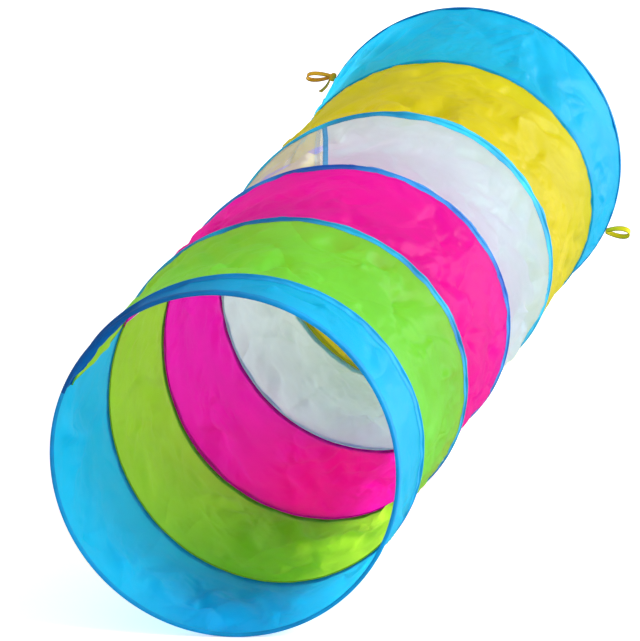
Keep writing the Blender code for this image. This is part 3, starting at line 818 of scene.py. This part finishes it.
def tape_side(turn, side, share, out):
    """Points of a tape's flat side, from the ridge's foot (out 0) to its edge (out 1)."""
    band = turn if side > 0 else turn - 1
    front, back = band_edges(band, share)
    width = back[0] - front[0]
    aside = RIDGE_FOOT + (tape_half_width(turn, side, share) - RIDGE_FOOT) * out
    in_band = (aside - SEAM_HALF) / width
    points, _, _ = band_surface(band, share, in_band if side > 0 else 1 - in_band)
    return raise_off(points, share, TAPE_LIFT * (1 - 0.35 * out**3))


def add_binding(turn):
    """The tape of one turn: flat on the cloth at both sides, raised in the middle over the wire."""
    columns = round(CLOTH_ROUND / CELL)
    outs = np.linspace(1, 0, 6)
    ridge = np.radians(np.linspace(-75, 75, 7))
    share = np.linspace(TAPE_END, 1 - TAPE_END, columns + 1)[:, None]
    around = share * CLOTH_ROUND
    calm = smoothstep(np.minimum(around, CLOTH_ROUND - around), 0, 0.02)
    wobble = calm * waver(around, RIDGE_WAVES, turn)
    radius, centre = coil_ring(turn, share)
    aside = RIDGE_ROUND * np.sin(ridge)[None, :] + wobble
    height = RIDGE_TOP - RIDGE_ROUND * (1 - np.cos(ridge))[None, :] + 0.3 * wobble
    over_wire = place(coil_station(turn, share) + aside, share, radius + height, centre)
    front_side = tape_side(turn, -1, share + 0 * outs[None, :], outs[None, :])
    back_side = tape_side(turn, 1, share + 0 * outs[None, :], outs[None, ::-1])
    points = np.concatenate([front_side, over_wire, back_side], axis=1)
    lengths = np.linalg.norm(np.diff(points, axis=1), axis=-1).cumsum(axis=1)
    lengths = np.concatenate([np.zeros((columns + 1, 1)), lengths], axis=1)
    uv = np.stack(np.broadcast_arrays(around, lengths), axis=-1)
    edges = from_edge(np.minimum(lengths, lengths[:, -1:] - lengths))
    piece = grid_piece(f"turn_{turn}_tape", points, uv, edges)
    piece.data.materials.append(TAPES[turn])
    squashes(piece)
    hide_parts(f"turn_{turn}_binding")


def add_wire(turn):
    """The spring wire of one turn, inside its binding."""
    steps = np.linspace(WIRE_END, 1 - WIRE_END, WIRE_STEPS)
    share, corner = np.meshgrid(steps, np.arange(WIRE_SIDES + 1), indexing="ij")
    turned = corner * 2 * math.pi / WIRE_SIDES
    radius, centre = coil_ring(turn, share)
    station = coil_station(turn, share) + WIRE_RADIUS * np.sin(turned)
    points = place(station, share, radius + WIRE_HEIGHT + WIRE_RADIUS * np.cos(turned), centre)
    uv = np.stack([share * CLOTH_ROUND, turned * WIRE_RADIUS], axis=-1)
    piece = grid_piece(f"turn_{turn}_spring", points, uv)
    piece.data.materials.append(SPRING_STEEL)
    squashes(piece)
    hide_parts(f"turn_{turn}_wire")


for turn_number in range(1, TURN_COUNT + 1):
    add_binding(turn_number)
    add_wire(turn_number)


# Hems

# A hem's outline as depth behind the mouth and height over the hoop's radius: from the seam along
# the outer leg, round the bead at the mouth and back along the inner leg
BEAD_MIDDLE = 0.0030
OUTER_LEG = [(HEM_WIDTH, HEM_BEAD - 0.0001), (0.0095, HEM_BEAD + 0.0001), (0.0065, HEM_BEAD)]
INNER_LEG = [(0.0055, -0.0024), (0.0080, -0.0010), (0.0100, 0.0001), (HEM_WIDTH, 0.0004)]


def add_hem(end, body, mouth, radius, centre, seed):
    """The fold of cloth round a hoop; mouth is 1 for the front one and -1 for the rear one."""
    steps = round(2 * math.pi * radius / 0.003)
    bead = np.radians(np.arange(90, 271, 20))
    bead = np.stack([BEAD_MIDDLE + HEM_BEAD * np.cos(bead), HEM_BEAD * np.sin(bead)], axis=-1)
    outline = np.concatenate([OUTER_LEG, bead, INNER_LEG])
    share, row = np.meshgrid(np.arange(steps) / steps, np.arange(len(outline)), indexing="ij")
    angle = share * 2 * math.pi
    deep, out = outline[row, 0], outline[row, 1]
    outer = smoothstep(out, 0.0, 0.001)
    back = smoothstep(deep, 0.004, 0.011)
    pleats = np.sin(61 * angle + 2.2 * np.sin(7 * angle + seed))
    pucker = back * (0.00035 * pleats + 0.0003 * np.sin(9 * angle + seed))
    deep = deep + back * 0.0006 * pleats
    height = out + pucker * (0.35 + 0.65 * (1 - outer))
    station = deep if mouth > 0 else TUNNEL_LENGTH - deep
    points = place(station, share, radius + height, centre)
    lengths = np.concatenate([[0], np.cumsum(np.hypot(*np.diff(outline, axis=0).T))])
    uv = np.stack([angle * radius, lengths[row]], axis=-1)
    edges = from_edge(np.minimum(lengths, lengths[-1] - lengths)[row])
    order = slice(None) if mouth < 0 else slice(None, None, -1)
    points, uv, edges = points[:, order], uv[:, order], edges[:, order]
    piece = grid_piece(f"{end}_hem_cloth", points, uv, edges, closed=True)
    piece.data.materials.append(FRONT_HEM_CLOTH if mouth > 0 else REAR_HEM_CLOTH)
    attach(piece, body)
    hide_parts(f"{end}_hem")


add_hem("front", "front_end", 1, FRONT_HOOP_RADIUS, FRONT_CENTRE, 1.0)
add_hem("rear", "rear_end", -1, REAR_HOOP_RADIUS, REAR_CENTRE, 2.0)
for end_name in ("front", "rear"):
    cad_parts[f"{end_name}_hoop_wire"].material_slots[0].material = SPRING_STEEL
    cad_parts[f"{end_name}_hoop_ferrule"].material_slots[0].material = SLEEVE_STEEL


# Ribbons

RIBBON_WIDTH = 0.010
TAIL_WIDTH = 0.0085
RIBBON_THICKNESS = 0.0008
RIBBON_CURL = 0.0012
# Loops: how far they stay open where the ribbon starts, in angle and height, and their steps
LOOP_OPENING = math.radians(10)
LOOP_PINCH = 0.00065
LOOP_STEPS = 56
# Loops of bow and eye: place on the rear hem, start off it, reach to the side, height, and roll in
# degrees at the ends and the tip
BOW_ANGLE = math.radians(147.1)
BOW_SETBACK = 0.008
BOW_STANDOFF = 0.0074
BOW_REACH = 0.2655
BOW_HEIGHT = 0.0160
BOW_ROLLS = (-20, -28)
EYE_ANGLE = math.radians(331.8)
EYE_DROOP = math.radians(-6)
EYE_SETBACK = 0.0095
EYE_STANDOFF = 0.0006
EYE_REACH = 0.2685
EYE_HEIGHT = 0.0225
EYE_ROLLS = (-30, -40)
# The bow's tail: its start off the hem and beside the knot, direction, length, curve and twist
TAIL_STANDOFF = 0.0056
TAIL_OFFSET = np.array([-0.00465, 0, -0.004092])
TAIL_ANGLE = math.radians(229)
TAIL_LENGTH = 0.0275
TAIL_BEND = 0.0022
TAIL_TWIST = (0.2, 0.7)
TAIL_STEPS = 24
# The knot: its middle over the hem, half its size outwards, round the hem and along the tunnel
KNOT_MIDDLE = 0.0054
KNOT_OUT = 0.0052
KNOT_ROUND = 0.0072
KNOT_DEEP = 0.0062


def add_ribbon(name, node_name, path, widths, width=RIBBON_WIDTH, material=RIBBON):
    """A ribbon along a path, with its width direction at each point."""
    path, widths = np.array(path), np.array(widths)
    over = np.linspace(-0.5, 0.5, 7)
    tangent = np.gradient(path, axis=0)
    tangent /= np.linalg.norm(tangent, axis=1)[:, None]
    face = np.cross(tangent, widths)
    curl = (0.25 - over**2) * RIBBON_CURL
    points = path[:, None] + widths[:, None] * (over * width)[None, :, None]
    points = points + face[:, None] * curl[None, :, None]
    length = np.concatenate([[0], np.cumsum(np.linalg.norm(np.diff(path, axis=0), axis=1))])
    uv = np.stack(np.meshgrid(length, over * width, indexing="ij"), axis=-1)
    edges = from_edge(np.broadcast_to(width * (0.5 - np.abs(over)), (len(path), len(over))))
    piece = grid_piece(name, points, uv, edges)
    solid = piece.modifiers.new("Thickness", "SOLIDIFY")
    solid.thickness = RIBBON_THICKNESS
    solid.offset = 0
    piece.data.materials.append(material)
    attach(piece, "rear_end")
    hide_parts(node_name)


def teardrop(share, length, height):
    """Outline of a ribbon loop from its pinched end round the tip and back again."""
    turned = LOOP_OPENING + 2 * (math.pi - LOOP_OPENING) * share
    along = length * (1 - math.cos(turned)) / 2
    bulge = height / 2 * math.sin(turned) * math.sin(turned / 2)
    return along, bulge + LOOP_PINCH * math.cos(turned / 2)


def facing(angle):
    """The direction away from the tunnel's axis at an angle round it."""
    return np.array([math.cos(angle), 0, math.sin(angle)])


def hem_seat(angle, setback):
    """A point just off the rear hem's outer face, and the way it faces."""
    outward = facing(angle)
    middle = np.array([0, TUNNEL_LENGTH / 2 - setback, REAR_CENTRE])
    return middle + outward * (REAR_HOOP_RADIUS + HEM_BEAD + 0.0002), outward


def add_loop(name, node_name, origin, ahead, length, height, rolls, material=RIBBON):
    """A closed loop of ribbon in the direction ahead, rolled about it from its ends to its tip."""
    aside = np.array([-ahead[2], 0, ahead[0]]) * np.sign(ahead[0])
    back = np.array([0, 1, 0])
    seat_roll = math.radians(rolls[0])
    side = aside * math.cos(seat_roll) + back * math.sin(seat_roll)
    path, widths = [], []
    for step in range(LOOP_STEPS + 1):
        share = step / LOOP_STEPS
        along, across = teardrop(share, length, height)
        roll = math.radians(rolls[0] + (rolls[1] - rolls[0]) * math.sin(math.pi * share))
        path.append(origin + ahead * along + side * across)
        widths.append(back * math.cos(roll) - aside * math.sin(roll))
    add_ribbon(name, node_name, path, widths, material=material)


def add_bow():
    """Knot, loop and tail at the left of the rear hem."""
    seat, outward = hem_seat(BOW_ANGLE, BOW_SETBACK)
    origin = seat + outward * BOW_STANDOFF
    left = np.array([-1.0, 0, 0])
    length = BOW_REACH + origin[0]
    add_loop("bow_loop_ribbon", "bow_loop", origin, left, length, BOW_HEIGHT, BOW_ROLLS)
    start = seat + outward * TAIL_STANDOFF + TAIL_OFFSET
    direction = facing(TAIL_ANGLE)
    aside = np.array([-direction[2], 0, direction[0]])
    path, widths = [], []
    for step in range(TAIL_STEPS + 1):
        share = step / TAIL_STEPS
        bend = TAIL_BEND * math.sin(math.pi * share)
        path.append(start + direction * TAIL_LENGTH * share + aside * bend)
        twist = TAIL_TWIST[0] + (TAIL_TWIST[1] - TAIL_TWIST[0]) * share
        widths.append(np.array([0, math.cos(twist), 0]) + aside * math.sin(twist))
    add_ribbon("bow_tail_ribbon", "bow_tail", path, widths, width=TAIL_WIDTH)
    add_knot(seat, outward)


def add_knot(seat, outward):
    """The wrapped middle of the bow: a soft lump with the ribbon's turns across it."""
    around = np.array([-outward[2], 0, outward[0]])
    turns = 40
    angle, over = np.meshgrid(
        np.arange(turns) * 2 * math.pi / turns, np.linspace(-1, 1, 15), indexing="ij"
    )
    plump = np.sqrt(np.clip(1 - np.abs(over) ** 3.2, 0, 1))
    ridge = 1 + 0.07 * np.sin(over * 7 + 2 * np.sin(angle)) + 0.05 * np.sin(3 * angle + 2 * over)
    out, up = (np.sign(part) * np.abs(part) ** 0.8 for part in (np.cos(angle), np.sin(angle)))
    out, up = KNOT_OUT * plump * ridge * out, KNOT_ROUND * plump * ridge * up
    middle = seat + outward * KNOT_MIDDLE
    points = middle + out[..., None] * outward + up[..., None] * around
    points = points + np.stack([0 * over, KNOT_DEEP * over, 0 * over], axis=-1)
    uv = np.stack([angle * 0.005, over * 0.005], axis=-1)
    piece = grid_piece("bow_knot_wrap", points, uv, from_edge(np.ones_like(over)), closed=True)
    piece.data.materials.append(RIBBON)
    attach(piece, "rear_end")
    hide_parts("bow_knot")


def add_eye():
    """The closed loop at the right of the rear hem."""
    seat, _ = hem_seat(EYE_ANGLE, EYE_SETBACK)
    ahead = facing(EYE_DROOP)
    origin = seat + ahead * EYE_STANDOFF
    length = (EYE_REACH - origin[0]) / ahead[0]
    shape = (length, EYE_HEIGHT, EYE_ROLLS)
    add_loop("ribbon_eye_loop", "ribbon_eye", origin, ahead, *shape, material=EYE_RIBBON)


add_bow()
add_eye()


# Stage, lights and camera

FOCAL_PIXELS = 5000
IMAGE_SIDE = 641
CAMERA_AZIMUTH = math.radians(12.832)
CAMERA_RISE = math.radians(14.735)
AXIS_POINT = Vector((-0.1297, -0.1900, -6.6688))
AXIS_HEIGHT = 0.24495
# The floor, a little under the part, what it adds towards the camera, and the surroundings' light
FLOOR_SIZE = 60
FLOOR_PLACE = (0, 8, -0.0005)
FLOOR_GLOW = 0.54
FILL_LIGHT = 0.66


def add_camera():
    """The camera that the photograph's outlines and seams fit."""
    turn, rise = CAMERA_AZIMUTH, CAMERA_RISE
    right = Vector((math.cos(turn), 0, math.sin(turn)))
    level, climb = math.cos(rise), math.sin(rise)
    ahead = Vector((math.sin(turn) * level, climb, -math.cos(turn) * level))
    up = Vector((-math.sin(turn) * climb, level, math.cos(turn) * climb))
    rotation = Matrix((right, ahead, up))
    location = Vector((0, -TUNNEL_LENGTH / 2, AXIS_HEIGHT)) - rotation @ AXIS_POINT
    data = bpy.data.cameras.new("camera")
    data.sensor_width = 36
    data.lens = FOCAL_PIXELS / IMAGE_SIDE * data.sensor_width
    data.clip_end = 60
    camera = bpy.data.objects.new("camera", data)
    camera.matrix_world = Matrix.Translation(location) @ rotation.to_4x4()
    bpy.context.scene.collection.objects.link(camera)
    bpy.context.scene.camera = camera


def add_sun(name, towards, spread, strength):
    """Soft even light that comes from one direction."""
    data = bpy.data.lights.new(name, "SUN")
    data.angle = math.radians(spread)
    data.energy = strength
    lamp = bpy.data.objects.new(name, data)
    lamp.rotation_euler = Vector(towards).to_track_quat("Z", "Y").to_euler()
    bpy.context.scene.collection.objects.link(lamp)


def to_camera(tree, output, usual, seen):
    """Gives the output its usual shader, and the camera's own rays another."""
    path = node(tree, "ShaderNodeLightPath")
    pick = mix_shaders(tree, path.outputs["Is Camera Ray"], usual, seen)
    link(tree, pick, output.inputs["Surface"])


def add_floor():
    """A plain white floor that keeps the object's shadow."""
    bpy.ops.mesh.primitive_plane_add(size=FLOOR_SIZE, location=FLOOR_PLACE)
    floor = bpy.context.object
    floor.name = "studio_floor"
    material, tree, output = nodes_for("white_floor")
    matte = node(tree, "ShaderNodeBsdfDiffuse", Color=(0.9, 0.9, 0.9, 1))
    glow = node(tree, "ShaderNodeEmission", Color=(1, 1, 1, 1), Strength=FLOOR_GLOW)
    both = node(tree, "ShaderNodeAddShader")
    link(tree, matte.outputs[0], both.inputs[0])
    link(tree, glow.outputs[0], both.inputs[1])
    to_camera(tree, output, matte.outputs[0], both.outputs[0])
    floor.data.materials.append(material)


def add_world():
    """Even white surroundings: plain fill light, white to the camera."""
    world = bpy.data.worlds.new("studio")
    bpy.context.scene.world = world
    world.use_nodes = True
    tree = world.node_tree
    tree.nodes.clear()
    output = node(tree, "ShaderNodeOutputWorld")
    fill = node(tree, "ShaderNodeBackground", Color=(1, 1, 1, 1), Strength=FILL_LIGHT)
    white = node(tree, "ShaderNodeBackground", Color=(1, 1, 1, 1), Strength=1.0)
    to_camera(tree, output, fill.outputs[0], white.outputs[0])


add_camera()
add_floor()
add_world()
add_sun("key", towards=(0.85, -0.30, 0.50), spread=14, strength=2.1)
add_sun("rim", towards=(0.80, 0.58, 0.08), spread=14, strength=4.1)
add_sun("left", towards=(-0.97, -0.18, 0.12), spread=25, strength=0.45)
bpy.context.scene.view_settings.view_transform = "Standard"
